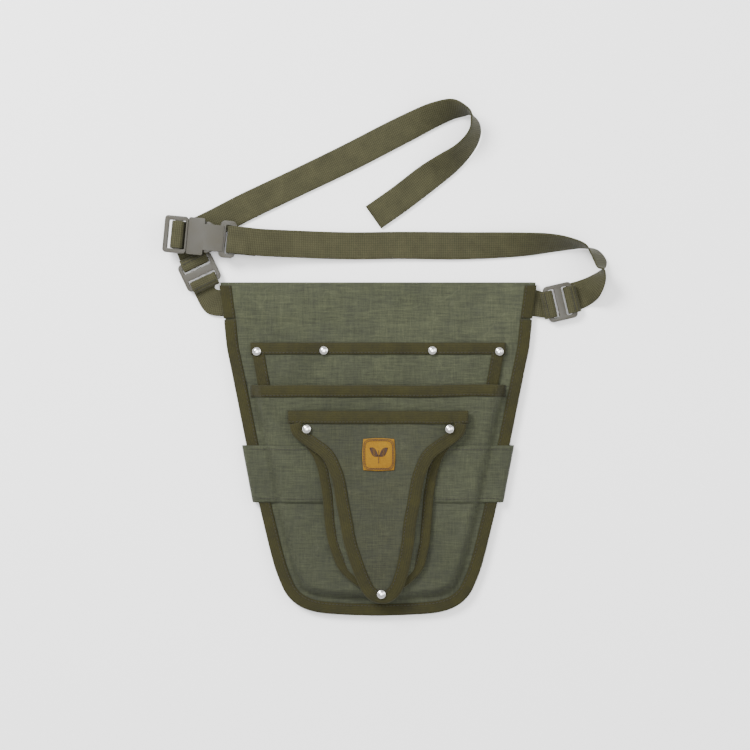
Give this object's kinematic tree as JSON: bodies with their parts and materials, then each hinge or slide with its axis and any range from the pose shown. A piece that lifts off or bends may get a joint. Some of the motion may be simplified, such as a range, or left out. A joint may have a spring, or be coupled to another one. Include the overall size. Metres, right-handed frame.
{
  "type": "garden tool bag",
  "caption": "Waist-worn canvas garden tool pouch with bound pockets, a riveted holster and an adjustable webbing belt with a side-release buckle.",
  "frame": {"origin": "centre of the belt tunnel's flat rear face, on the surface that the bag lies on", "axes": "+Z out of the bag's front, +Y towards the belt end, +X to the right seen from the front"},
  "size_m": [0.4097, 0.4753, 0.0284],
  "materials": {
    "canvas": "waxed cotton canvas, olive green",
    "binding": "ribbed woven binding tape, dark olive brown",
    "webbing": "flat woven webbing, khaki olive",
    "plastic": "moulded plastic, grey khaki, fine grain",
    "rivet": "polished nickel cap",
    "patch": "woven mustard patch with a stitched edge"
  },
  "bodies": {
    "bag": {"body_panel": "canvas", "upper_pocket_panel": "canvas", "main_pocket_panel": "canvas", "wrap_band": "canvas", "holster_back_panel": "canvas", "holster_front_panel": "canvas", "holster_gusset_left": "canvas", "holster_gusset_right": "canvas", "outer_binding": "binding", "tunnel_binding_left": "binding", "tunnel_binding_right": "binding", "upper_pocket_top_binding": "binding", "upper_pocket_binding_left": "binding", "upper_pocket_binding_right": "binding", "main_pocket_top_binding": "binding", "holster_top_binding": "binding", "holster_rear_binding_left": "binding", "holster_rear_binding_right": "binding", "holster_front_binding_left": "binding", "holster_front_binding_right": "binding", "rivet_pocket_1": "rivet", "rivet_pocket_2": "rivet", "rivet_pocket_3": "rivet", "rivet_pocket_4": "rivet", "rivet_holster_left": "rivet", "rivet_holster_right": "rivet", "rivet_holster_tip": "rivet", "maker_patch": "patch"},
    "belt": {"tunnel_webbing": "webbing", "slider_right": "plastic", "belt_webbing": "webbing", "buckle_female": "plastic"},
    "buckle_male": {"left_loop_webbing": "webbing", "slider_left": "plastic", "short_strap": "webbing", "ladder_wrap": "webbing", "buckle_male": "plastic", "tail_strap": "webbing"},
    "latch_upper": {"latch_arm_upper": "plastic"},
    "latch_lower": {"latch_arm_lower": "plastic"}
  },
  "joints": [
    {"name": "belt_slide", "type": "slide", "parent": "bag", "child": "belt", "axis": [1, 0, 0], "range_m": [-0.002, 0.002]},
    {"name": "buckle_release", "type": "slide", "parent": "belt", "child": "buckle_male", "axis": [-0.9954, 0.0958, 0], "range_m": [0, 0.03], "deforming": ["latch_arm_upper", "latch_arm_lower"]},
    {"name": "latch_upper_squeeze", "type": "hinge", "parent": "buckle_male", "child": "latch_upper", "pos_m": [-0.17364, 0.0713, 0.0132], "axis": [0, 0, 1], "range_deg": [-6, 0], "stiffness_Nm_per_rad": 0.05},
    {"name": "latch_lower_squeeze", "type": "hinge", "parent": "buckle_male", "child": "latch_lower", "pos_m": [-0.17566, 0.05039, 0.0132], "axis": [0, 0, 1], "range_deg": [0, 6], "stiffness_Nm_per_rad": 0.05}
  ]
}
